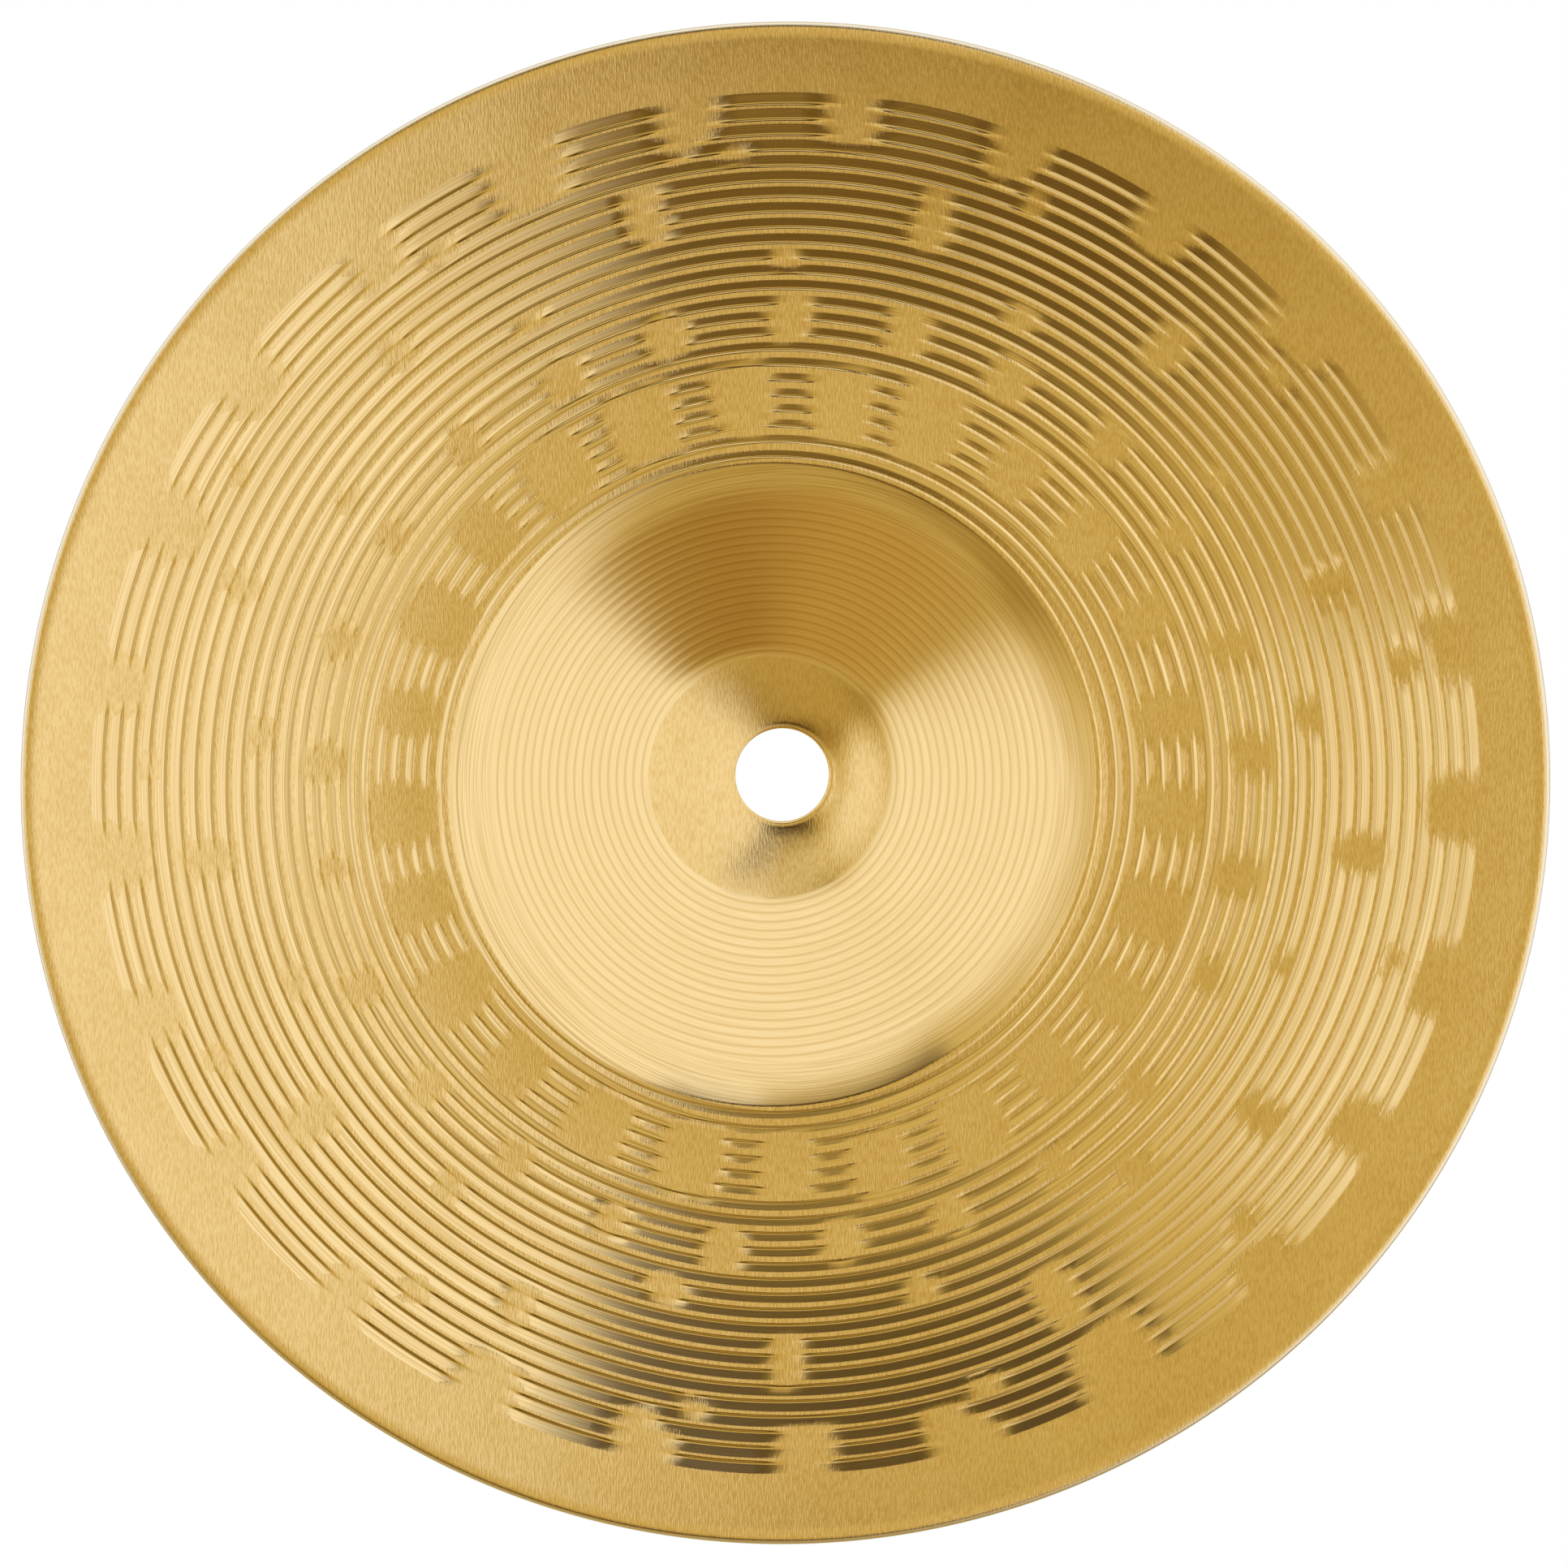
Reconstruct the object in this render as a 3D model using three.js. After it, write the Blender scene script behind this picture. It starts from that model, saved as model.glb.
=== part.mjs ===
// Splash cymbal: one disc of sheet brass, pressed, hammered and lathed to shape.
//
// From the middle outwards it has a round hole for a stand's rod with a narrow level ring
// round it, the bell's shallow crown that the stand's felts press on, the bell's conical
// wall, a bow that falls ever more steeply, and a rim. The hole and the rim share one
// centre, and the bell sits a little to one side of it.
//
// Millimetres, +Z up. The disc lies bell upwards and hollow side down, and the origin is
// the centre of the circle that the rim rests on.

import * as THREE from 'three';

// Driving dimensions
const RIM_RADIUS = 101.6;
const HOLE_RADIUS = 6.35;
const SHEET_THICKNESS = 0.8;
const LEVEL_RING_RADIUS = 7.5;
const CROWN_RADIUS = 16.2;
const BELL_RADIUS = 46;
const BELL_OFFSET_X = -1.85;
const OFFSET_END_RADIUS = 75;
const REST_FLAT_WIDTH = 1.0;
const EDGE_HEIGHT = 0.5;

// Sections round the disc
const SECTIONS = 96;

// The sheet's fall away from the middle, in degrees, at the radii where its curve changes,
// and the number of steps that draw the stretch up to each radius. The slope runs evenly
// from one radius to the next, so each stretch is a plane, a cone or a shallow arc.
const REST_RADIUS = RIM_RADIUS - REST_FLAT_WIDTH;
const STRETCHES = [
  { radius: HOLE_RADIUS, fall: 0, steps: 0 },
  { radius: LEVEL_RING_RADIUS, fall: 0, steps: 1 },
  { radius: 8.3, fall: 12, steps: 1 },
  { radius: CROWN_RADIUS, fall: 17, steps: 3 },
  { radius: 18.5, fall: 25, steps: 2 },
  { radius: 37, fall: 25, steps: 2 },
  { radius: BELL_RADIUS, fall: 3, steps: 6 },
  { radius: REST_RADIUS, fall: 12, steps: 12 },
];

const slopeOf = (degrees) => Math.tan(THREE.MathUtils.degToRad(degrees));

// Walks the underside from the rim's rest circle inwards and returns its points, hole
// first, each with the slope of the sheet there.
function undersidePoints() {
  const points = [{ radius: REST_RADIUS, height: 0, slope: slopeOf(STRETCHES.at(-1).fall) }];
  for (let i = STRETCHES.length - 1; i > 0; i--) {
    const outer = STRETCHES[i];
    const inner = STRETCHES[i - 1];
    for (let step = 1; step <= outer.steps; step++) {
      const share = step / outer.steps;
      const radius = THREE.MathUtils.lerp(outer.radius, inner.radius, share);
      const slope = THREE.MathUtils.lerp(slopeOf(outer.fall), slopeOf(inner.fall), share);
      const last = points[0];
      const height = last.height + (last.radius - radius) * (last.slope + slope) / 2;
      points.unshift({ radius, height, slope });
    }
  }
  return points;
}

// The top face lies one sheet thickness away, square to the underside.
function topPoint({ radius, height, slope }) {
  const length = Math.hypot(1, slope);
  return new THREE.Vector2(
    radius + SHEET_THICKNESS * slope / length,
    height + SHEET_THICKNESS / length,
  );
}

// The closed section of the disc: out along the underside, round the rim, back over the
// top and down the wall of the hole.
function discSection() {
  const underside = undersidePoints();
  const section = [
    ...underside.map(({ radius, height }) => new THREE.Vector2(radius, height)),
    new THREE.Vector2(RIM_RADIUS, 0),
    new THREE.Vector2(RIM_RADIUS, EDGE_HEIGHT),
    ...underside.map(topPoint).reverse(),
  ];
  section.push(section[0].clone());
  return section;
}

// How much of the bell's offset applies at a radius: none at the hole and its level ring,
// all of it from the crown's edge to the foot of the bell, and then less and less out over
// the bow.
function offsetShare(radius) {
  const rising = THREE.MathUtils.smoothstep(radius, LEVEL_RING_RADIUS, CROWN_RADIUS);
  const falling = THREE.MathUtils.smoothstep(radius, BELL_RADIUS, OFFSET_END_RADIUS);
  return rising * (1 - falling);
}

function shiftBell(geometry) {
  const position = geometry.getAttribute('position');
  for (let i = 0; i < position.count; i++) {
    const x = position.getX(i);
    const radius = Math.hypot(x, position.getY(i));
    position.setX(i, x + BELL_OFFSET_X * offsetShare(radius));
  }
  geometry.computeVertexNormals();
}

function makeCymbal() {
  const geometry = new THREE.LatheGeometry(discSection(), SECTIONS);
  geometry.rotateX(Math.PI / 2);
  shiftBell(geometry);
  const brass = new THREE.MeshStandardMaterial({
    color: 0xdab76c,
    metalness: 1,
    roughness: 0.32,
  });
  const cymbal = new THREE.Mesh(geometry, brass);
  cymbal.name = 'cymbal';
  return cymbal;
}

const part = new THREE.Group();
part.add(makeCymbal());

export default part;
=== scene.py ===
# %% [markdown]
# # A hammered and lathed splash cymbal
#
# A small cymbal is one thin disc of sheet brass. It is pressed to shape, hammered in
# rings, and then turned on a lathe that cuts round grooves into the hollow underside.
# Where a hammer blow pushed the sheet away from the tool, the tool missed, and the raw
# rolled sheet is still there. Those islands of raw sheet are what gives the disc its look.
#
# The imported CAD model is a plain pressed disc. This script loads it as a fixed frame and
# replaces it with the finished disc, which fills the same box and follows the same
# section, but for two crisper bends.

# %% Load the frame
import math

import bpy
from mathutils import Matrix, Vector


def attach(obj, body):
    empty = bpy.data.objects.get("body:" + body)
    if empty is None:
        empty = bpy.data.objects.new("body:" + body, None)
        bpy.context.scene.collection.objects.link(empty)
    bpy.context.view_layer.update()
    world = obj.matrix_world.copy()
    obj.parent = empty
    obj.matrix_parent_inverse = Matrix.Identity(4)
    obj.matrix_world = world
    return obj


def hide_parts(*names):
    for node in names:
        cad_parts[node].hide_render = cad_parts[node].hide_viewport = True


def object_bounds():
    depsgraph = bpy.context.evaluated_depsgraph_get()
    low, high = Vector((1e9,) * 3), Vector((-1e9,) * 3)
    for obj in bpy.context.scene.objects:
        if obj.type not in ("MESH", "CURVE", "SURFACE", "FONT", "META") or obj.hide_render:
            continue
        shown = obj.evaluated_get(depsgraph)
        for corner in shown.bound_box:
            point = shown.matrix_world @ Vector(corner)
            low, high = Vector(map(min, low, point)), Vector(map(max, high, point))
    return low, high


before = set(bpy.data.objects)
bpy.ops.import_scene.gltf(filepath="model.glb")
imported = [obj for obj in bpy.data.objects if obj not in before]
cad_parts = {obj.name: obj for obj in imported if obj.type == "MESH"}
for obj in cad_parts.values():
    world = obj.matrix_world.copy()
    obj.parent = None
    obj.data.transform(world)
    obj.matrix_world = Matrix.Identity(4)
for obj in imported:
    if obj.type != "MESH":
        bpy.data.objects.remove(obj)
cad_low, cad_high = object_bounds()
print("CAD box, mm:", [round(size * 1000, 2) for size in cad_high - cad_low])

# %% [markdown]
# ## Two small helpers for node trees
#
# Geometry and materials are both made of nodes here. Adding a node by hand takes several
# lines, and a formula of ten nodes can't be read any more. `Net` adds a node in one call,
# with settings first and sockets after. `Value` wraps a socket that carries a number, so
# that plain Python expressions such as `1 - mask` add the Math nodes, and the rest of the
# script reads as formulas.


# %% Node helpers
class Value:
    """A number that flows through a node tree."""

    def __init__(self, net, socket):
        self.net, self.socket = net, socket

    def maths(self, operation, *values):
        node = self.net.add("ShaderNodeMath", {"operation": operation}, dict(enumerate(values)))
        return Value(self.net, node.outputs[0])

    def __add__(self, other):
        return self.maths("ADD", self, other)

    def __radd__(self, other):
        return self.maths("ADD", other, self)

    def __sub__(self, other):
        return self.maths("SUBTRACT", self, other)

    def __rsub__(self, other):
        return self.maths("SUBTRACT", other, self)

    def __mul__(self, other):
        return self.maths("MULTIPLY", self, other)

    def __rmul__(self, other):
        return self.maths("MULTIPLY", other, self)

    def __truediv__(self, other):
        return self.maths("DIVIDE", self, other)

    def root(self):
        return self.maths("SQRT", self)

    def fraction(self):
        return self.maths("FRACT", self)

    def cosine(self):
        return self.maths("COSINE", self)

    def sine(self):
        return self.maths("SINE", self)

    def largest(self, other):
        return self.maths("MAXIMUM", self, other)

    def smallest(self, other):
        return self.maths("MINIMUM", self, other)

    def rises(self, low, high):
        """0 below low, 1 above high, and a smooth step between them."""
        sockets = {"Value": self, "From Min": low, "From Max": high}
        node = self.net.add("ShaderNodeMapRange", {"interpolation_type": "SMOOTHSTEP"}, sockets)
        return Value(self.net, node.outputs["Result"])


class Net:
    """A node tree that is filled by code."""

    def __init__(self, tree):
        self.tree = tree
        tree.nodes.clear()

    def add(self, kind, settings=None, sockets=None):
        node = self.tree.nodes.new(kind)
        for name, setting in (settings or {}).items():
            setattr(node, name, setting)
        for name, value in (sockets or {}).items():
            self.feed(node.inputs[name], value)
        return node

    def feed(self, socket, value):
        if isinstance(value, Value):
            value = value.socket
        if isinstance(value, bpy.types.NodeSocket):
            self.tree.links.new(value, socket)
        else:
            socket.default_value = value

    def number(self, kind, settings=None, sockets=None, output=0):
        return Value(self, self.add(kind, settings, sockets).outputs[output])

    def vector(self, x, y, z):
        return self.add("ShaderNodeCombineXYZ", None, {"X": x, "Y": y, "Z": z}).outputs[0]

    def split(self, vector):
        node = self.add("ShaderNodeSeparateXYZ", None, {"Vector": vector})
        return [Value(self, node.outputs[axis]) for axis in "XYZ"]


# %% [markdown]
# ## The section of the sheet
#
# The disc's section is known by how steeply the sheet falls at a few radii: level round
# the hole, a shallow crown, a conical bell wall, a soft fillet, and a bow that gets
# steeper towards the rim. A free curve through a few heights would wobble, and brass
# shows every wobble. Here the slope runs evenly between two radii, which draws a plane, a
# cone or a shallow arc, and adding the slopes up from the rim inwards gives the heights.
# It is the CAD part's rule with two crisper bends: a narrower level ring at the hole and
# a sharp line at the bell's edge. The slopes are then scaled a little, so that the hole
# stays at the CAD's height and the new disc still fills the same box.

# %% Section of the sheet, in metres
MM = 0.001
RIM_RADIUS = (cad_high.x - cad_low.x) / 2
REST_RADIUS = RIM_RADIUS - 1.0 * MM
HOLE_RADIUS = 6.35 * MM
RING_EDGE_RADIUS = 6.6 * MM
RING_BEND_RADIUS = 7.4 * MM
CROWN_START_RADIUS = 8.3 * MM
CROWN_RADIUS = 16.2 * MM
WALL_START_RADIUS = 18.5 * MM
WALL_END_RADIUS = 37 * MM
BELL_EDGE_RADIUS = 43.3 * MM
BELL_BEND = 0.08 * MM
BELL_RADIUS = 46 * MM
THICKNESS = 0.8 * MM

FALLS = [
    # radius, and the fall of the sheet there in degrees
    (HOLE_RADIUS, 0),
    (RING_EDGE_RADIUS, 3),
    (RING_BEND_RADIUS, 14),
    (CROWN_START_RADIUS, 15.5),
    (CROWN_RADIUS, 18),
    (WALL_START_RADIUS, 25),
    (WALL_END_RADIUS, 25),
    (BELL_EDGE_RADIUS - BELL_BEND, 17.5),
    (BELL_EDGE_RADIUS + BELL_BEND, 4.5),
    (BELL_RADIUS, 3),
    (REST_RADIUS, 12),
]
STEEPNESS = [(radius, math.tan(math.radians(fall))) for radius, fall in FALLS]
OWN_HEIGHT = sum(
    (outer - inner) * (steep_in + steep_out) / 2
    for (inner, steep_in), (outer, steep_out) in zip(STEEPNESS, STEEPNESS[1:])
)
FIT = (cad_high.z - THICKNESS) / OWN_HEIGHT
SLOPES = [(radius, steep * FIT) for radius, steep in STEEPNESS]


def slope_at(radius):
    for (inner, steep_in), (outer, steep_out) in zip(SLOPES, SLOPES[1:]):
        if radius <= outer:
            return steep_in + (steep_out - steep_in) * (radius - inner) / (outer - inner)
    return SLOPES[-1][1]


def height_at(radius):
    """Height of the underside above the rim's rest circle."""
    height = 0
    for (inner, _), (outer, steep_out) in zip(SLOPES, SLOPES[1:]):
        start = max(radius, inner)
        if start < outer:
            height += (outer - start) * (slope_at(start) + steep_out) / 2
    return height


top_of_disc = height_at(HOLE_RADIUS) + THICKNESS
print("slopes scaled by", round(FIT, 4))
print("section height, mm:", round(top_of_disc / MM, 3), "CAD:", round(cad_high.z / MM, 3))

# %% [markdown]
# ## A bell that is off centre
#
# The bell was pressed almost two millimetres to one side of the hole. Moving a finished
# bell would tear it off the bow, so every ring of the section knows its own shift
# instead: none at the hole, all of it on the bell, and none on the outer bow. Smooth
# steps join these three, and the sheet stays whole.

# %% How far each ring is shifted along X
LEVEL_RING_RADIUS = 7.5 * MM
OFFSET_END_RADIUS = 75 * MM
BELL_OFFSET = -1.85 * MM


def smooth_step(value, low, high):
    share = min(max((value - low) / (high - low), 0), 1)
    return share * share * (3 - 2 * share)


def shift_at(radius):
    """How far the sheet is shifted along X, because the bell was pressed off centre."""
    rising = smooth_step(radius, LEVEL_RING_RADIUS, CROWN_RADIUS)
    falling = smooth_step(radius, BELL_RADIUS, OFFSET_END_RADIUS)
    return BELL_OFFSET * rising * (1 - falling)


print("shift of the bell, mm:", round(shift_at(WALL_END_RADIUS) / MM, 2))

# %% [markdown]
# ## The lathe's grooves
#
# The turning tool leans outwards, so each turn of the disc cuts a channel with a short
# steep wall on the inside and a long gentle wall on the outside. The channels on the bow
# are 2 mm apart, get wider towards the rim, and leave a thin ridge of raw sheet between
# them. A bump pattern could draw them, but real walls mirror different parts of the
# studio, and keep doing so when the disc is seen edge on. One formula gives the cut at
# any radius, and both the mesh and the material use it, so that the change of finish lies
# exactly on the edge of the cut. The mesh only needs rings of points where a channel
# bends, and a few more beside them, which keep the walls straight and the ridges flat.

# %% Grooves on the underside
GROOVE_START = 43.4 * MM
GROOVE_PITCH = 2.045 * MM
GROOVE_COUNT = 24
INNER_HALF_WIDTH = 0.54 * MM
OUTER_HALF_WIDTH = 0.86 * MM
DEPTH_SHARE = 0.19
DEEPEST_SHARE = -0.55
GROOVE_SHARES = (-1.1, -1, -0.76, DEEPEST_SHARE, -0.34, 0.85, 1, 1.1)
GROOVE_END = GROOVE_START + GROOVE_COUNT * GROOVE_PITCH


def groove_half_width(radius):
    share = (radius - GROOVE_START) / (GROOVE_END - GROOVE_START)
    return INNER_HALF_WIDTH + (OUTER_HALF_WIDTH - INNER_HALF_WIDTH) * share


def groove_depth(radius):
    return groove_half_width(radius) * DEPTH_SHARE


def cut_at(radius):
    """Depth of the tool's cut, which is below zero where the tool passes clear."""
    if not GROOVE_START < radius < GROOVE_END:
        return -groove_depth(GROOVE_END)
    turns = (radius - GROOVE_START) / GROOVE_PITCH
    share = (turns % 1 - 0.5) * GROOVE_PITCH / groove_half_width(radius)
    steep_wall = (share + 1) / (1 + DEEPEST_SHARE)
    gentle_wall = (1 - share) / (1 - DEEPEST_SHARE)
    return groove_depth(radius) * min(steep_wall, gentle_wall)


def groove_rings():
    """Radii of the rings of points that draw every groove."""
    radii = []
    for turn in range(GROOVE_COUNT):
        centre = GROOVE_START + (turn + 0.5) * GROOVE_PITCH
        half_width = groove_half_width(centre)
        radii += [centre + share * half_width for share in GROOVE_SHARES]
    return radii


print("grooves:", GROOVE_COUNT, "from", GROOVE_START / MM, "to", round(GROOVE_END / MM, 2), "mm")

# %% [markdown]
# ## One closed line as the section
#
# The section goes out along the underside, round the rim, back over the top and down the
# wall of the hole. A Screw modifier could spin it into a disc, but it would forget which
# part of the sheet a point belongs to. So each point carries its numbers as attributes,
# and the node tree that sweeps the line round the axis reads them: its radius and height,
# how far the bell's offset shifts it, the cut at that radius, and which side it is on.

# %% Points of the section
NO_CUT = -groove_depth(GROOVE_END)
RIM_ROUND = 0.25 * MM
RIM_LENGTH = 0.6 * MM
RIM_STEPS = 8


def underside_point(radius):
    return {
        "from_axis": radius,
        "height": height_at(radius),
        "shift": shift_at(radius),
        "cut": cut_at(radius),
        "side": 1.0,
    }


def top_point(radius):
    slope = slope_at(radius)
    length = math.hypot(1, slope)
    return {
        "from_axis": radius + THICKNESS * slope / length,
        "height": height_at(radius) + THICKNESS / length,
        "shift": shift_at(radius),
        "cut": NO_CUT,
        "side": 0.0,
    }


def edge_point(radius, height):
    return {
        "from_axis": radius,
        "height": height,
        "shift": 0.0,
        "cut": NO_CUT,
        "side": 0.0,
    }


def rim_points():
    """The edge of the rim, ground to half an ellipse, from its underside to its top."""
    angles = [math.pi * (step / RIM_STEPS - 0.5) for step in range(RIM_STEPS + 1)]
    return [
        edge_point(
            RIM_RADIUS - RIM_LENGTH + RIM_LENGTH * math.cos(angle),
            RIM_ROUND + RIM_ROUND * math.sin(angle),
        )
        for angle in angles
    ]


print("height of the rim's edge, mm:", 2 * RIM_ROUND / MM)

# %% [markdown]
# ## Rings of points where the sheet bends
#
# A ring of points costs triangles all the way round, so the rings are close together
# where the sheet bends and far apart where it is straight. Each bend gets a number of
# even steps that lead up to it from the bend before. Equal steps from hole to rim would
# be shorter to write, but they would miss the sharp line at the bell's edge.

# %% The whole section as one list of points
ROUNDING = 0.12 * MM
BELL_EDGE_MARGIN = 0.3 * MM
BAND_STEPS = 7
BELL_BENDS = [
    # radius of a bend in the underside, and the number of steps that lead up to it
    (RING_BEND_RADIUS, 4),
    (CROWN_RADIUS - ROUNDING, 7),
    (WALL_START_RADIUS, 5),
    (WALL_END_RADIUS, 8),
    (BELL_EDGE_RADIUS - BELL_EDGE_MARGIN, 7),
    (BELL_EDGE_RADIUS - BELL_BEND, 1),
    (BELL_EDGE_RADIUS + BELL_BEND, 1),
    (BELL_EDGE_RADIUS + BELL_EDGE_MARGIN, 1),
]
TOP_BENDS = [
    (CROWN_RADIUS, 6),
    (WALL_START_RADIUS, 3),
    (WALL_END_RADIUS, 5),
    (BELL_RADIUS, 6),
    (REST_RADIUS, 16),
]


def evenly(first, last, steps):
    return [first + (last - first) * step / steps for step in range(1, steps + 1)]


def rings_from_the_hole(bends):
    radii = [HOLE_RADIUS + ROUNDING]
    for bend, steps in bends:
        radii += evenly(radii[-1], bend, steps)
    return radii


bow_radii = groove_rings()
band_radii = evenly(bow_radii[-1], REST_RADIUS, BAND_STEPS)
under_radii = rings_from_the_hole(BELL_BENDS) + bow_radii + band_radii
top_radii = rings_from_the_hole(TOP_BENDS)
hole_low = height_at(HOLE_RADIUS)
hole_high = hole_low + THICKNESS
section = (
    [edge_point(HOLE_RADIUS, hole_low + ROUNDING)]
    + [underside_point(radius) for radius in under_radii]
    + rim_points()
    + [top_point(radius) for radius in reversed(top_radii)]
    + [edge_point(HOLE_RADIUS, hole_high - ROUNDING)]
)
print("points in the section:", len(section))

# %% [markdown]
# ## Hammer blows as points
#
# Before it was turned, the sheet was hammered in six rings, and each blow left a dent in
# what is now the hollow side. The dents could be sculpted one by one, but they follow a
# rule with a little unrest in it, so Geometry Nodes make them. Each ring is a circle of
# points, every point is moved a little at random, and it stores how wide, long and deep
# its dent is. The seed is fixed, so the disc comes out the same each time.

# %% The rings of hammer blows
ISLAND_SHARE = 0.76
HAMMER_RINGS = [
    # radius, number of blows, half width and half length of the raw island, first angle
    (51.6 * MM, 25, 3.8 * MM, 4.2 * MM, 4),
    (62.0 * MM, 25, 2.2 * MM, 2.3 * MM, 11),
    (70.0 * MM, 13, 1.9 * MM, 1.5 * MM, 20),
    (77.6 * MM, 13, 2.2 * MM, 3.2 * MM, 7),
    (84.0 * MM, 13, 1.7 * MM, 1.4 * MM, 16),
    (91.2 * MM, 25, 4.4 * MM, 6.0 * MM, 2),
]
SCATTER = 0.7 * MM
WEAKEST, STRONGEST = 0.8, 1.15
STRENGTH_SEED = 50
# Random Value has a set of limits for each kind of number, and these two are the floats
FLOAT_MIN, FLOAT_MAX = 2, 3


def blow_depth(radius):
    """Depth of a dent whose sheet meets the bottom of the cut at its island's edge."""
    return groove_depth(radius) / (1 - ISLAND_SHARE**4) ** 2


def store_number(net, geometry, name, value):
    """The same geometry, with a number stored on its points."""
    store = net.add(
        "GeometryNodeStoreNamedAttribute",
        {"data_type": "FLOAT", "domain": "POINT"},
        {"Geometry": geometry, "Name": name, "Value": value},
    )
    return store.outputs[0]


def ring_of_blows(net, radius, count, first, seed):
    """Points spread evenly round one ring, each moved a little at random."""
    circle = net.add(
        "GeometryNodeMeshCircle", {"fill_type": "NONE"}, {"Vertices": count, "Radius": radius}
    )
    turned = net.add(
        "GeometryNodeTransform",
        None,
        {"Geometry": circle.outputs[0], "Rotation": (0, 0, math.radians(first))},
    )
    jitter = net.add(
        "FunctionNodeRandomValue",
        {"data_type": "FLOAT_VECTOR"},
        {"Min": (-SCATTER, -SCATTER, 0), "Max": (SCATTER, SCATTER, 0), "Seed": seed},
    )
    moved = net.add(
        "GeometryNodeSetPosition",
        None,
        {"Geometry": turned.outputs[0], "Offset": jitter.outputs[0]},
    )
    return moved.outputs[0]


def blow_points(net, seed):
    """Points for all hammer blows, with the size and depth of each blow stored on them."""
    join = net.add("GeometryNodeJoinGeometry")
    for number, (radius, count, half_width, half_length, first) in enumerate(HAMMER_RINGS):
        blows = ring_of_blows(net, radius, count, first, seed + number)
        strength = net.number(
            "FunctionNodeRandomValue",
            {"data_type": "FLOAT"},
            {FLOAT_MIN: WEAKEST, FLOAT_MAX: STRONGEST, "Seed": seed + number + STRENGTH_SEED},
            output=1,
        )
        blows = store_number(net, blows, "half_width", strength * (half_width / ISLAND_SHARE))
        blows = store_number(net, blows, "half_length", strength * (half_length / ISLAND_SHARE))
        blows = store_number(net, blows, "depth", strength * blow_depth(radius))
        net.feed(join.inputs[0], blows)
    return join.outputs[0]


print("hammer blows:", sum(count for _, count, *_ in HAMMER_RINGS))

# %% [markdown]
# ## The dent at any place on the sheet
#
# A blow pushes the sheet out of the tool's reach. Cutting each dent out of the mesh would
# need far more points than the sheet has, so every point of the sheet finds its nearest
# blow and works out its own depth from the distance. A dent has blunt corners, so its
# outline is a squarish oval with steep ends. A soft noise bends the place that is looked
# up, and no two outlines are alike.

# %% Depth of the nearest dent
WAVER = 2.6 * MM
WAVER_FINENESS = 420


def stored_number(net, name):
    return net.number(
        "GeometryNodeInputNamedAttribute", {"data_type": "FLOAT"}, {"Name": name}, "Attribute"
    )


def vector_length(net, vector):
    return net.number("ShaderNodeVectorMath", {"operation": "LENGTH"}, {0: vector}, "Value")


def at_nearest_blow(net, blows, index, field, kind):
    node = net.add(
        "GeometryNodeSampleIndex",
        {"data_type": kind, "domain": "POINT"},
        {"Geometry": blows, "Value": field, "Index": index},
    )
    return node.outputs[0]


def dent_depth(net, blows, place):
    """How far the nearest hammer blow pushed the sheet at a place on the disc."""
    waver = net.add(
        "ShaderNodeTexNoise",
        {"noise_dimensions": "3D"},
        {"Vector": place, "Scale": WAVER_FINENESS, "Detail": 2},
    )
    nudge = net.add(
        "ShaderNodeVectorMath",
        {"operation": "MULTIPLY_ADD"},
        {0: waver.outputs["Color"], 1: (WAVER,) * 3, 2: place},
    )
    x, y, _ = net.split(nudge.outputs[0])
    flat_place = net.vector(x - WAVER / 2, y - WAVER / 2, 0.0)
    nearest = net.add(
        "GeometryNodeSampleNearest",
        {"domain": "POINT"},
        {"Geometry": blows, "Sample Position": flat_place},
    )
    index = nearest.outputs[0]
    position = net.add("GeometryNodeInputPosition").outputs[0]
    blow_place = at_nearest_blow(net, blows, index, position, "FLOAT_VECTOR")
    half_width, half_length, depth = [
        Value(net, at_nearest_blow(net, blows, index, stored_number(net, name), "FLOAT"))
        for name in ("half_width", "half_length", "depth")
    ]
    distance = net.number(
        "ShaderNodeVectorMath", {"operation": "DISTANCE"}, {0: flat_place, 1: blow_place}, "Value"
    )
    outwards = vector_length(net, flat_place) - vector_length(net, blow_place)
    along_ring = (distance * distance - outwards * outwards).largest(0.0)
    across = along_ring / (half_width * half_width)
    along = outwards * outwards / (half_length * half_length)
    nearness = (1 - across * across - along * along).largest(0.0)
    return depth * nearness * nearness


deepest_dent = max(blow_depth(radius) for radius, *_ in HAMMER_RINGS) * STRONGEST
print("deepest dent before turning, mm:", round(deepest_dent / MM, 3))

# %% [markdown]
# ## Sweeping the section round the axis
#
# The disc follows one rule all the way round, so a node tree makes it. One quarter could
# be made and mirrored, but then the hammering would repeat, so the whole circle is made
# at once. The tree turns the section into a curve, sweeps it round a circle, and puts
# each point at its radius and angle. The cut is shallower where there is a dent, or
# missing. Only a twentieth of the dent stays in the sheet, as a soft wave, because the
# islands of raw sheet look flat. The depth of the dent is stored as well, because the
# brass needs to know where the tool missed.

# %% The tree that sweeps and hammers the disc
SEGMENTS = 352
SEED = 7
WAVE_SHARE = 0.05
WAVE_RADIUS = 50 * MM


def add_input(tree, name, kind, value):
    """A named input of the tree, as the pair that a modifier's setting needs."""
    socket = tree.interface.new_socket(name, in_out="INPUT", socket_type=kind)
    return socket.identifier, value


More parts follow.
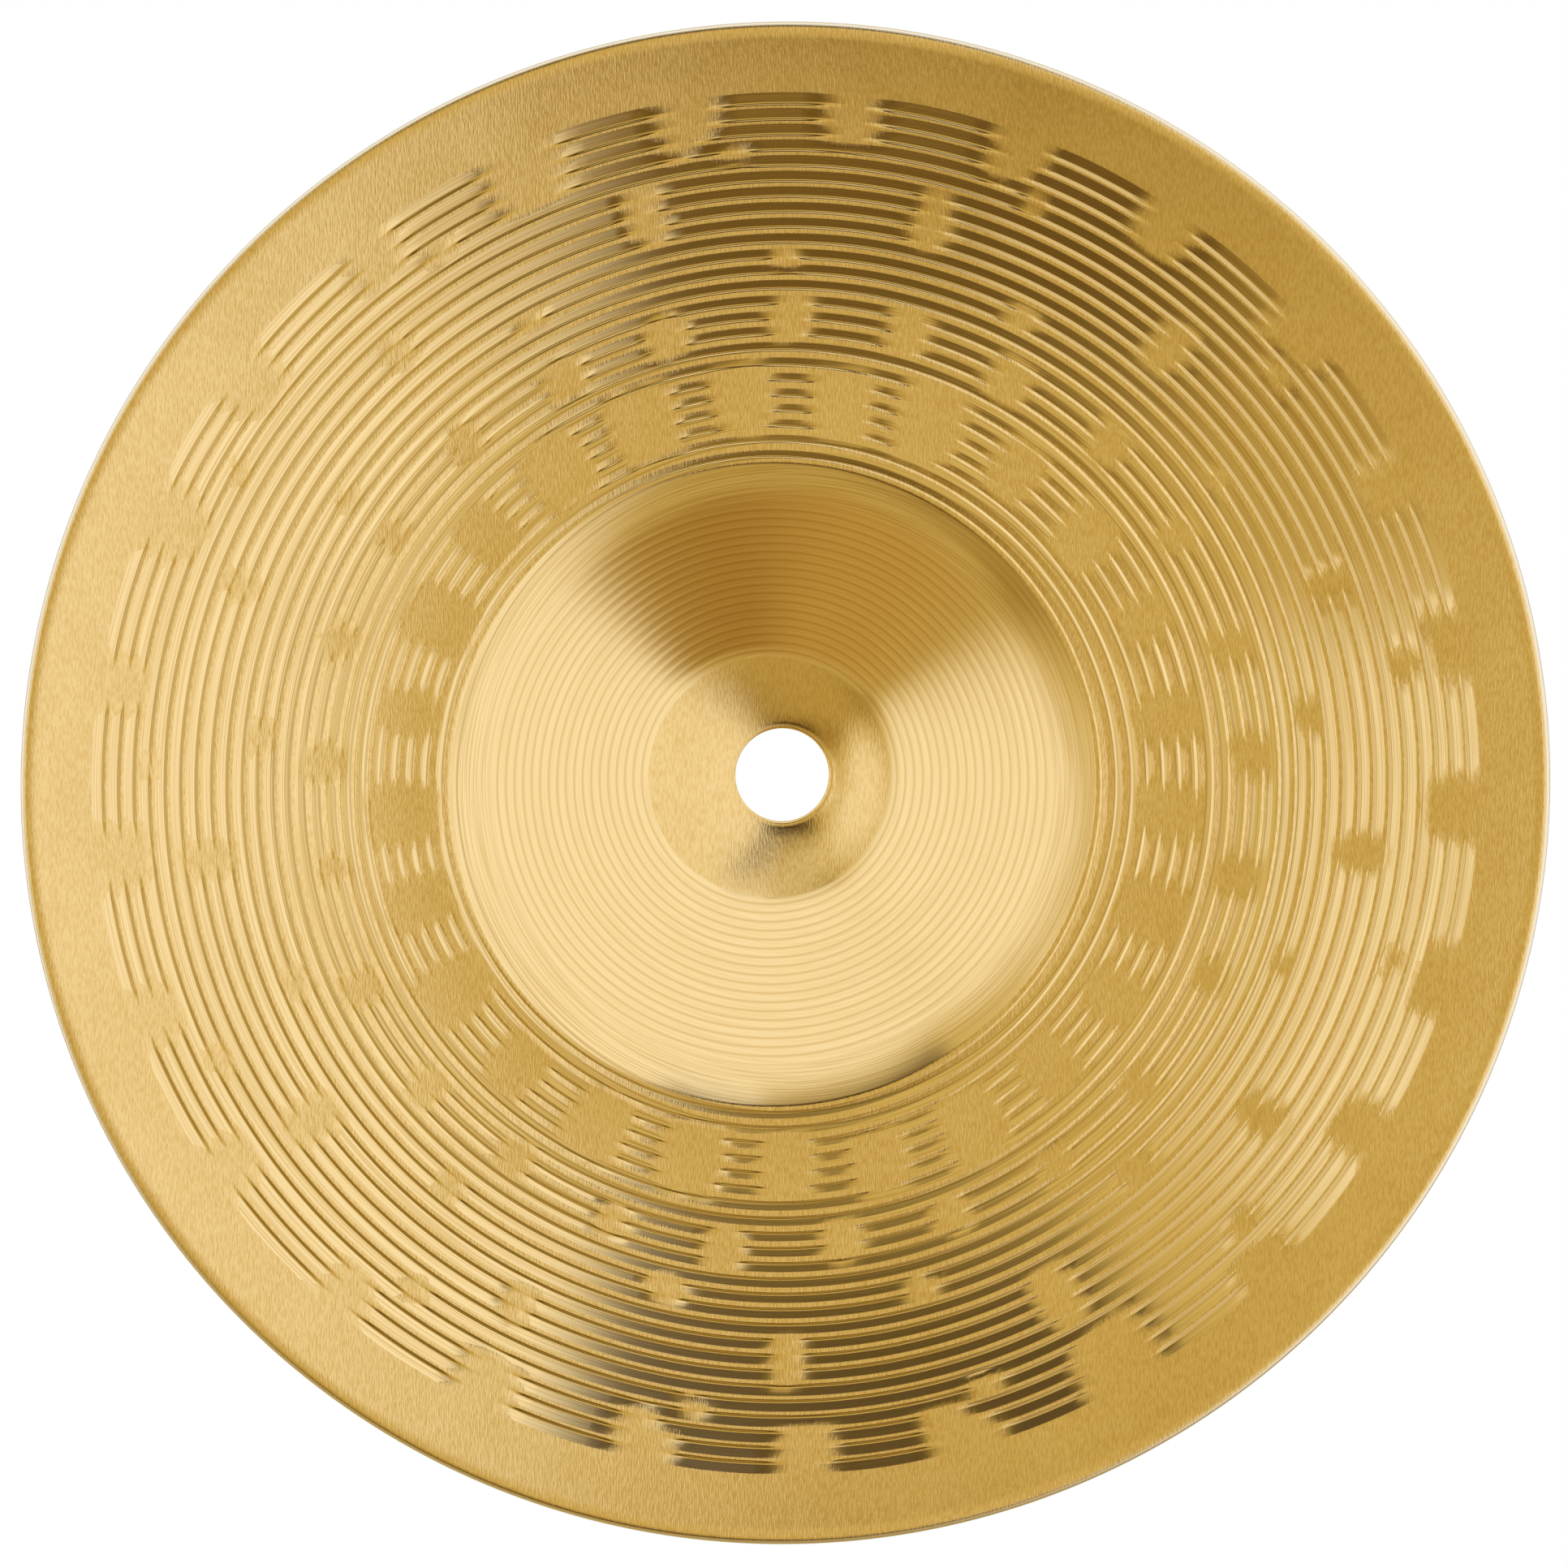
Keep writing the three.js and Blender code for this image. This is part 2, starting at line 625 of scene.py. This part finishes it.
def placed_points(net, swept, seed, wave_share):
    """Each point of the swept sheet at its radius, angle and height, cut and dented."""
    angle = stored_number(net, "turn")
    radius = stored_number(net, "from_axis")
    x = angle.cosine() * radius + stored_number(net, "shift")
    y = angle.sine() * radius
    dent = dent_depth(net, blow_points(net, seed), net.vector(x, y, 0.0))
    wave = dent * wave_share * radius.rises(BELL_RADIUS, WAVE_RADIUS)
    side = stored_number(net, "side")
    lift = wave + (stored_number(net, "cut") - dent).largest(0.0) * side
    dented = store_number(net, swept, "dent", dent)
    position = net.vector(x, y, stored_number(net, "height") + lift)
    placed = net.add("GeometryNodeSetPosition", None, {"Geometry": dented, "Position": position})
    return placed.outputs[0]


def make_disc_tree(material):
    tree = bpy.data.node_groups.new("hammered_disc", "GeometryNodeTree")
    net = Net(tree)
    tree.interface.new_socket("Geometry", in_out="INPUT", socket_type="NodeSocketGeometry")
    tree.interface.new_socket("Geometry", in_out="OUTPUT", socket_type="NodeSocketGeometry")
    settings = [
        add_input(tree, "Segments", "NodeSocketInt", SEGMENTS),
        add_input(tree, "Seed", "NodeSocketInt", SEED),
        add_input(tree, "Wave share", "NodeSocketFloat", WAVE_SHARE),
    ]
    inputs = net.add("NodeGroupInput")
    seed = Value(net, inputs.outputs["Seed"])
    wave_share = Value(net, inputs.outputs["Wave share"])

    circle = net.add(
        "GeometryNodeCurvePrimitiveCircle", None, {"Resolution": inputs.outputs["Segments"]}
    )
    turn = net.number("GeometryNodeSplineParameter", output="Factor") * (2 * math.pi)
    rail = store_number(net, circle.outputs[0], "turn", turn)
    outline = net.add("GeometryNodeMeshToCurve", None, {"Mesh": inputs.outputs["Geometry"]})
    swept = net.add(
        "GeometryNodeCurveToMesh", None, {"Curve": rail, "Profile Curve": outline.outputs[0]}
    )
    placed = placed_points(net, swept.outputs[0], seed, wave_share)
    smooth = net.add("GeometryNodeSetShadeSmooth", None, {"Geometry": placed})
    real = net.add("GeometryNodeRealizeInstances", None, {"Geometry": smooth.outputs[0]})
    finished = net.add(
        "GeometryNodeSetMaterial", None, {"Geometry": real.outputs[0], "Material": material}
    )
    net.add("NodeGroupOutput", None, {"Geometry": finished.outputs[0]})
    return tree, settings


print("points in the swept disc:", len(section) * SEGMENTS)
print("deepest wave left in it, mm:", round(deepest_dent * WAVE_SHARE / MM, 3))

# %% [markdown]
# ## Raw rolled sheet
#
# The disc has two finishes of the same brass. Where the tool missed, the sheet is still
# as it came from the rolls, with a fine grain that runs one way across the whole disc. A
# painted texture could show it, but drawn-out noise has no seams and can have any
# fineness. The grain goes into the colour, the gloss and the normals, and a wide faint
# cloud keeps the large areas alive. The rim's ground edge has a paler painted highlight.

# %% Raw brass
RAW_COLOUR = (0.97, 0.73, 0.28, 1)
RAW_SHADE = (0.80, 0.55, 0.16, 1)
# painted highlight: the rounded rim edge is coloured paler for the bright line it catches
RIM_PAINTED_HIGHLIGHT = (1.0, 0.90, 0.58, 1)
GRAIN_FINENESS = (4600, 900, 900)
GRAIN_DEPTH = 0.015 * MM
CLOUD_FINENESS = 45
CLOUD_SHARE = 0.2
GRAIN_RANGE = (0.30, 0.66)
CLOUD_RANGE = (0.35, 0.65)
RAW_ROUGHNESS = 0.14
GRAIN_ROUGHNESS = 0.05
RIM_ROUGHNESS = 0.1
RIM_START = RIM_RADIUS - 0.6 * MM
RIM_FULL = RIM_RADIUS - 0.45 * MM


def noise(net, place, fineness, detail):
    sockets = {"Vector": place, "Scale": fineness, "Detail": detail}
    return net.number("ShaderNodeTexNoise", {"noise_dimensions": "3D"}, sockets)


def stretched(net, place, scale):
    sockets = {"Vector": place, "Scale": scale}
    return net.add("ShaderNodeMapping", {"vector_type": "POINT"}, sockets).outputs[0]


def blend_colours(net, share, first, second):
    # a Mix node has a set of sockets for each kind of value: 6, 7 and output 2 are colours
    node = net.add("ShaderNodeMix", {"data_type": "RGBA"}, {"Factor": share, 6: first, 7: second})
    return node.outputs[2]


def metal(net, colour, roughness, height, spread=None):
    """Bare metal with fine relief, whose height is in metres."""
    bump = net.add("ShaderNodeBump", None, {"Height": height, "Distance": 1.0})
    sockets = {"Base Color": colour, "Metallic": 1.0, "Roughness": roughness}
    sockets["Normal"] = bump.outputs[0]
    sockets.update(spread or {})
    return net.add("ShaderNodeBsdfPrincipled", None, sockets).outputs[0]


def raw_sheet(net, place, radius):
    grain = noise(net, stretched(net, place, GRAIN_FINENESS), 1.0, 4.0)
    cloud = noise(net, place, CLOUD_FINENESS, 2.0)
    grain_shade = grain.rises(*GRAIN_RANGE) * (1 - CLOUD_SHARE)
    shade = grain_shade + cloud.rises(*CLOUD_RANGE) * CLOUD_SHARE
    rim = radius.rises(RIM_START, RIM_FULL)
    colour = blend_colours(net, shade, RAW_SHADE, RAW_COLOUR)
    # painted highlight on the rim's ground edge
    colour = blend_colours(net, rim, colour, RIM_PAINTED_HIGHLIGHT)
    roughness = RAW_ROUGHNESS + grain * GRAIN_ROUGHNESS + rim * RIM_ROUGHNESS
    return metal(net, colour, roughness, grain * GRAIN_DEPTH)


print("lumps of the grain, mm:", [round(1 / fineness / MM, 2) for fineness in GRAIN_FINENESS])

# %% [markdown]
# ## Turned metal
#
# The tool leaves lines that run round the disc, and they spread a reflection along the
# radius. Lines fine enough to do that would vanish between two rays, so the shader's
# anisotropy does it, turned by a quarter, and only the coarser lines are drawn, with
# noise that is thin along the radius and long round the disc. Their darker streaks are
# partly the metal's tone and partly painted shade for their reflections. The wall of the
# bell also has even lines, one for each turn of the disc, darkened with painted shade.
# The steep wall of each channel is painted darker, as painted shade for what it mirrors.

# %% Turned brass
TURNED_COLOUR = (0.99, 0.77, 0.32, 1)
# darker turned colour: partly the metal's own tone, partly painted shade for how the turned lines
# reflect
TURNED_TONE_AND_PAINTED_SHADE = (0.70, 0.46, 0.12, 1)
# painted shade: the steep wall of each channel is coloured darker, for the dark that it mirrors
PAINTED_WALL_SHADE = (0.70, 0.50, 0.17, 1)
TURNED_ROUGHNESS = 0.11
LINE_ROUGHNESS = 0.05
ALONG_THE_RADIUS = {"Anisotropic": 0.85, "Anisotropic Rotation": 0.25}
LINE_FINENESS = 5200
LINE_LUMPS = 2
LINE_DEPTH = 0.0025 * MM
LINE_RANGE = (0.40, 0.66)
LINE_TONE_AND_PAINTED_SHADE = 0.6
CALMER_IN_BELL = 0.4
BELL_LINE_PITCH = 1.15 * MM
BELL_LINE_DEPTH = 0.0035 * MM
BELL_LINE_PAINTED_SHADE = 0.55
BELL_LINES_FADE = (WALL_END_RADIUS, WALL_END_RADIUS + 2 * MM)


def ring_place(net, radius, x, y, fineness, lumps):
    """A place for noise whose lumps are thin along the radius and long round the disc."""
    return net.vector(radius * fineness, x / radius * lumps, y / radius * lumps)


def turned_metal(net, radius, bell_radius, x, y, painted_wall_shade):
    line_place = ring_place(net, radius, x, y, LINE_FINENESS, LINE_LUMPS)
    lines = noise(net, line_place, 1.0, 3.0)
    bell_lines = (bell_radius * (2 * math.pi / BELL_LINE_PITCH)).cosine()
    in_bell = 1 - bell_radius.rises(*BELL_LINES_FADE)
    height = lines * LINE_DEPTH + bell_lines * in_bell * BELL_LINE_DEPTH
    # painted shade: the bell's even lines are darkened for the shading of their scallops, and the
    # streaks partly for their reflections, partly as the metal's tone
    line_tone_and_painted_shade = lines.rises(*LINE_RANGE) * (LINE_TONE_AND_PAINTED_SHADE - in_bell * CALMER_IN_BELL)
    bell_line_painted_shade = bell_lines.rises(0.2, 1.0) * in_bell * BELL_LINE_PAINTED_SHADE
    shade = line_tone_and_painted_shade.largest(bell_line_painted_shade)
    colour = blend_colours(net, shade, TURNED_COLOUR, TURNED_TONE_AND_PAINTED_SHADE)
    # painted shade on the steep wall of each channel
    colour = blend_colours(net, painted_wall_shade, colour, PAINTED_WALL_SHADE)
    roughness = TURNED_ROUGHNESS + lines * LINE_ROUGHNESS
    return metal(net, colour, roughness, height, ALONG_THE_RADIUS)


print("lines inside the bell:", round((WALL_END_RADIUS - CROWN_RADIUS) / BELL_LINE_PITCH))

# %% [markdown]
# ## Where the tool has cut
#
# The finish changes exactly where the cut begins. The two could be painted on two sets of
# faces, but the edge would follow the mesh in steps. Instead the material repeats the
# groove formula, takes off the dent that the sheet stored on its points, and mixes the
# two metals with the result. A little noise, drawn out round the disc, frays the edges.

# %% Brass
TURNED_START = 16.25 * MM
TURNED_END = 43.2 * MM
TURNED_SOFT = 0.15 * MM
TOP_START = 15.8 * MM
TOP_SOFT = 0.3 * MM
CUT_SOFT = 0.02 * MM
CUT_RISE = (-0.003 * MM, 0.006 * MM)
WALL_SHADE_SOFT = 0.12
RAGGED_FINENESS = 900
RAGGED_DEPTH = 0.016 * MM
STREAK_FINENESS = 2600
STREAK_LUMPS = 14
STREAK_DEPTH = 0.05 * MM
MEAN_NOISE_DEPTH = (RAGGED_DEPTH + STREAK_DEPTH) / 2


def attribute(net, name):
    return net.number(
        "ShaderNodeAttribute", {"attribute_type": "GEOMETRY", "attribute_name": name}, None, "Fac"
    )


def between(value, low, high, soft):
    return value.rises(low, low + soft) * (1 - value.rises(high - soft, high))


def groove_mask(radius, dent):
    """1 where the tool cut the bow's underside, and 1 on the cut's steep wall, which gets painted
    shade.
    """
    turns = (radius - GROOVE_START) / GROOVE_PITCH
    half_width = INNER_HALF_WIDTH + (OUTER_HALF_WIDTH - INNER_HALF_WIDTH) / GROOVE_COUNT * turns
    share = (turns.fraction() - 0.5) * GROOVE_PITCH / half_width
    steep_wall = (share + 1) / (1 + DEEPEST_SHARE)
    gentle_wall = (1 - share) / (1 - DEEPEST_SHARE)
    cut = half_width * DEPTH_SHARE * steep_wall.smallest(gentle_wall)
    on_bow = between(radius, GROOVE_START, GROOVE_END, CUT_SOFT)
    turned = (cut - dent).rises(*CUT_RISE) * on_bow
    # mask of the painted shade on the steep wall, which is coloured darker for the dark it
    # mirrors
    painted_wall_shade = 1 - share.rises(DEEPEST_SHARE - WALL_SHADE_SOFT, DEEPEST_SHARE + WALL_SHADE_SOFT)
    return turned, painted_wall_shade * turned


def make_brass():
    material = bpy.data.materials.new("brass")
    material.use_nodes = True
    net = Net(material.node_tree)
    place = net.add("ShaderNodeTexCoord").outputs["Object"]
    x, y, _ = net.split(place)
    radius = (x * x + y * y).root()
    bell_x = x - BELL_OFFSET
    bell_radius = (bell_x * bell_x + y * y).root()
    side = attribute(net, "side").rises(0.4, 0.6)
    ragged = noise(net, place, RAGGED_FINENESS, 1.0) * RAGGED_DEPTH
    streak_place = ring_place(net, radius, x, y, STREAK_FINENESS, STREAK_LUMPS)
    streaks = noise(net, streak_place, 1.0, 2.0) * STREAK_DEPTH
    dent = attribute(net, "dent") + ragged + streaks - MEAN_NOISE_DEPTH
    turned_bow, painted_wall_shade = groove_mask(radius, dent)
    turned_bell = between(bell_radius, TURNED_START, TURNED_END, TURNED_SOFT)
    turned_below = turned_bow.largest(turned_bell) * side
    turned_top = between(radius, TOP_START, REST_RADIUS, TOP_SOFT) * (1 - side)
    turned = turned_below.largest(turned_top)
    raw_brass = raw_sheet(net, place, radius)
    turned_brass = turned_metal(net, radius, bell_radius, x, y, painted_wall_shade * side)
    finish = net.add("ShaderNodeMixShader", None, {0: turned, 1: raw_brass, 2: turned_brass})
    net.add("ShaderNodeOutputMaterial", None, {"Surface": finish.outputs[0]})
    return material


brass = make_brass()
print("nodes in the brass:", len(brass.node_tree.nodes))

# %% [markdown]
# ## From the node tree to one finished disc
#
# The section starts as a bare loop of edges with the node tree on it. The tree could stay
# on the disc as a live modifier, but a finished disc is one plain mesh that anyone can
# export and measure. So the result is taken as a mesh and the draft is thrown away. The
# volume is measured with its sign, which shows whether the faces point outwards. The disc
# then takes the place of the CAD's cymbal and rides on its body.

# %% Make the disc
def section_mesh(points):
    """The closed section as a loop of edges, with its numbers stored on its points."""
    mesh = bpy.data.meshes.new("section")
    places = [(point["from_axis"], 0, point["height"]) for point in points]
    edges = [(index, (index + 1) % len(points)) for index in range(len(points))]
    mesh.from_pydata(places, edges, [])
    for name in ("from_axis", "height", "shift", "cut", "side"):
        layer = mesh.attributes.new(name, "FLOAT", "POINT")
        layer.data.foreach_set("value", [point[name] for point in points])
    return mesh


def signed_volume(mesh):
    mesh.calc_loop_triangles()
    corners = [vertex.co for vertex in mesh.vertices]
    triangles = [[corners[index] for index in face.vertices] for face in mesh.loop_triangles]
    return sum(a.dot(b.cross(c)) for a, b, c in triangles) / 6


def make_disc(material):
    draft = bpy.data.objects.new("disc_draft", section_mesh(section))
    bpy.context.scene.collection.objects.link(draft)
    tree, settings = make_disc_tree(material)
    modifier = draft.modifiers.new("hammer_and_sweep", "NODES")
    modifier.node_group = tree
    for identifier, value in settings:
        modifier[identifier] = value
    swept = draft.evaluated_get(bpy.context.evaluated_depsgraph_get())
    mesh = bpy.data.meshes.new_from_object(swept)
    mesh.name = "hammered_disc"
    draft.modifiers.remove(modifier)
    bpy.data.objects.remove(draft)
    if signed_volume(mesh) < 0:
        mesh.flip_normals()
    disc = bpy.data.objects.new("hammered_disc", mesh)
    bpy.context.scene.collection.objects.link(disc)
    return disc


CUBIC_CM = 1e-6
disc = make_disc(brass)
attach(disc, "root")
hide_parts("cymbal")
print("volume, cm3:", round(signed_volume(disc.data) / CUBIC_CM, 2))
print("triangles:", len(disc.data.loop_triangles))

# %% [markdown]
# ## A floor that can only be seen from above
#
# The disc rests on its rim on a plain pale floor. The main camera stands under it and
# looks into the hollow. Hiding the floor from cameras would leave the disc hanging in the
# views from above, so the floor is clear from below only, like a sheet of glass that is
# frosted for those who stand on it. It also stays out of reflections, because the
# hollow would otherwise mirror the back of the floor instead of the studio.

# %% Floor
FLOOR_HEIGHT = -0.2 * MM
FLOOR_SIZE = 40
FLOOR_COLOUR = (0.86, 0.86, 0.85, 1)
FLOOR_ROUGHNESS = 0.9


def flat_square(name, size, height):
    half = size / 2
    corners = [
        (-half, -half, height),
        (half, -half, height),
        (half, half, height),
        (-half, half, height),
    ]
    mesh = bpy.data.meshes.new(name)
    mesh.from_pydata(corners, [], [(0, 1, 2, 3)])
    square = bpy.data.objects.new(name, mesh)
    bpy.context.scene.collection.objects.link(square)
    return square


def one_sided_material(name, colour, roughness):
    """A plain surface that can be seen from its front, and is clear from its back."""
    material = bpy.data.materials.new(name)
    material.use_nodes = True
    net = Net(material.node_tree)
    sockets = {"Base Color": colour, "Roughness": roughness}
    surface = net.add("ShaderNodeBsdfPrincipled", None, sockets).outputs[0]
    clear = net.add("ShaderNodeBsdfTransparent").outputs[0]
    back = net.add("ShaderNodeNewGeometry").outputs["Backfacing"]
    seen = net.add("ShaderNodeMixShader", None, {0: back, 1: surface, 2: clear})
    net.add("ShaderNodeOutputMaterial", None, {"Surface": seen.outputs[0]})
    return material


def make_floor():
    floor = flat_square("floor", FLOOR_SIZE, FLOOR_HEIGHT)
    material = one_sided_material("pale_floor", FLOOR_COLOUR, FLOOR_ROUGHNESS)
    floor.data.materials.append(material)
    floor.visible_glossy = False


make_floor()
print("floor:", FLOOR_SIZE, "m wide,", -FLOOR_HEIGHT / MM, "mm under the rim")

# %% [markdown]
# ## The studio below the disc
#
# A polished hollow shows nothing but what surrounds it, so the studio's light is what
# draws the disc: wide white light on both sides and behind, a warm grey room between
# them, and two dark openings that only the walls of the grooves look into. Lamps could
# light it, but each zone of the hollow mirrors its own spot, and a wall that is painted
# with soft patches of light is easier to steer. It lights the metal and isn't seen by the
# camera. Places on it are metres from its middle, and a patch with a slanted side uses a
# mix of x and y.

# %% The wall of light
WALL_HEIGHT = -0.97
WALL_SIZE = 8
WARM_GREY = (0.65, 0.53, 0.28, 1)
DARK_OPENING = (0.03, 0.012, 0.002, 1)
DIM_OPENING = (0.08, 0.04, 0.008, 1)
DIM_CORNER = (0.38, 0.27, 0.10, 1)
DARK_FRONT = (0.50, 0.33, 0.12, 1)
DARKER_FRONT = (0.36, 0.22, 0.07, 1)
SOFT_WHITE = (1.0, 0.97, 1.15, 1)


def bright_patches(x, y):
    """1 where the wall is white: on the right, on the left, and behind."""
    right = (x - 0.1 * y).rises(0.085, 0.125) * (1 - (y - 0.9 * x).rises(0.05, 0.55))
    left = 1 - (x + 0.35 * y).rises(-0.74, -0.42)
    left_strip = between(x, -0.44, -0.19, 0.05) * between(y, -0.2, 0.24, 0.06)
    behind = 1 - y.rises(-0.58, -0.45)
    return right.largest(left).largest(left_strip).largest(behind)


def far_opening(x, y):
    """1 in the dark opening at -Y, which the grooves on the bow's +Y side mirror."""
    left_side = (x - 0.65 * y).rises(-0.06, 0.0)
    right_side = 1 - (x + 0.3 * y).rises(0.07, 0.13)
    return between(y, -0.43, -0.13, 0.04) * left_side * right_side


def near_opening(x, y):
    """1 in the dim opening at +Y, which the grooves on the bow's -Y side mirror."""
    return between(x, -0.25, 0.23, 0.04) * between(y, 0.33, 0.61, 0.04)


def dim_corner(x, y):
    """1 where the room between the lights is darker, towards the front."""
    fading = 1 - y.rises(0.55, 0.75) * 0.7
    return (y + 1.5 * x).rises(-0.6, -0.15) * y.rises(0.1, 0.5) * fading


def wall_colour(net, x, y):
    """Warm grey with the patches laid over it, one after the other."""
    front = (y - 0.11 * x).rises(0.93, 1.0)
    front_colour = blend_colours(net, x.rises(-0.3, 0.3), DARK_FRONT, DARKER_FRONT)
    colour = blend_colours(net, dim_corner(x, y), WARM_GREY, DIM_CORNER)
    colour = blend_colours(net, near_opening(x, y), colour, DIM_OPENING)
    colour = blend_colours(net, bright_patches(x, y), colour, SOFT_WHITE)
    colour = blend_colours(net, far_opening(x, y), colour, DARK_OPENING)
    return blend_colours(net, front, colour, front_colour)


def make_light_wall():
    wall = flat_square("light_wall", WALL_SIZE, WALL_HEIGHT)
    material = bpy.data.materials.new("soft_lights")
    material.use_nodes = True
    net = Net(material.node_tree)
    x, y, _ = net.split(net.add("ShaderNodeTexCoord").outputs["Object"])
    sockets = {"Color": wall_colour(net, x, y), "Strength": 1.0}
    light = net.add("ShaderNodeEmission", None, sockets)
    net.add("ShaderNodeOutputMaterial", None, {"Surface": light.outputs[0]})
    wall.data.materials.append(material)
    wall.visible_camera = False
    wall.visible_diffuse = False
    wall.visible_shadow = False


make_light_wall()
print("wall of light:", WALL_SIZE, "m wide,", -WALL_HEIGHT, "m under the disc")

# %% [markdown]
# ## The studio above the disc
#
# Over the floor there is an even pale room. It could do all the lighting, but then the
# turned lines on the top would hardly show, so one large soft lamp overhead and one from
# the side add a sheen. The camera sees the room white overhead and pale at the horizon,
# where it meets the floor without a hard line.

# %% World and lamps over the disc
GLOW_LOW = (0.50, 0.48, 0.45, 1)
GLOW_HIGH = (0.92, 0.92, 0.92, 1)
BACKDROP_LOW = (0.66, 0.66, 0.65, 1)
BACKDROP_HIGH = (1, 1, 1, 1)
LAMPS = [
    # name, place in metres, size in metres, power in watts
    ("top_lamp", (-0.9, 0.7, 1.6), 1.2, 3),
    ("side_lamp", (1.3, -0.9, 1.0), 1.4, 2.5),
]


def make_world():
    world = bpy.data.worlds.new("studio")
    world.use_nodes = True
    net = Net(world.node_tree)
    direction = net.add("ShaderNodeTexCoord").outputs["Generated"]
    _, _, up = net.split(direction)
    seen = net.number("ShaderNodeLightPath", None, None, "Is Camera Ray")
    glow = blend_colours(net, up.rises(0.0, 0.9), GLOW_LOW, GLOW_HIGH)
    backdrop = blend_colours(net, up.rises(0.0, 0.5), BACKDROP_LOW, BACKDROP_HIGH)
    colour = blend_colours(net, seen, glow, backdrop)
    background = net.add("ShaderNodeBackground", None, {"Color": colour, "Strength": 1.0})
    net.add("ShaderNodeOutputWorld", None, {"Surface": background.outputs[0]})
    bpy.context.scene.world = world


def soft_lamp(name, place, size, power):
    lamp = bpy.data.lights.new(name, "AREA")
    lamp.shape = "SQUARE"
    lamp.size = size
    lamp.energy = power
    holder = bpy.data.objects.new(name, lamp)
    holder.location = place
    holder.rotation_euler = Vector(place).to_track_quat("Z", "Y").to_euler()
    holder.visible_camera = False
    bpy.context.scene.collection.objects.link(holder)


make_world()
for name, place, size, power in LAMPS:
    soft_lamp(name, place, size, power)
    print(name + ":", size, "m wide,", power, "W")

# %% [markdown]
# ## The camera
#
# The camera looks up into the hollow from almost straight below, a little off to one
# side, with a long lens, so the rim stays a circle and the off-centre bell can be seen. A
# Track To constraint could aim it, but from straight below it has no steady idea of which
# way is up, so the camera's three axes are worked out and set as one matrix.

# %% Camera
TO_CAMERA = Vector((-0.0431, -0.1058, -0.9935))
CAMERA_DISTANCE = 0.95
LENS = 164.4
SENSOR_WIDTH = 36
CLIP_START = 0.05
AIM = Vector((-0.66 * MM, -1.02 * MM, 0))
CAMERA_UP = Vector((0, -1, 0))


def make_camera():
    camera = bpy.data.objects.new("camera", bpy.data.cameras.new("camera"))
    camera.data.lens = LENS
    camera.data.sensor_width = SENSOR_WIDTH
    camera.data.clip_start = CLIP_START
    place = TO_CAMERA.normalized() * CAMERA_DISTANCE
    forward = (AIM - place).normalized()
    right = forward.cross(CAMERA_UP).normalized()
    up = right.cross(forward)
    turn = Matrix((right, up, -forward)).transposed().to_4x4()
    camera.matrix_world = Matrix.Translation(place) @ turn
    bpy.context.scene.collection.objects.link(camera)
    bpy.context.scene.camera = camera


make_camera()
bpy.context.scene.view_settings.view_transform = "Standard"
view_width = CAMERA_DISTANCE * SENSOR_WIDTH / LENS
print("width of the view, mm:", round(view_width / MM, 1))
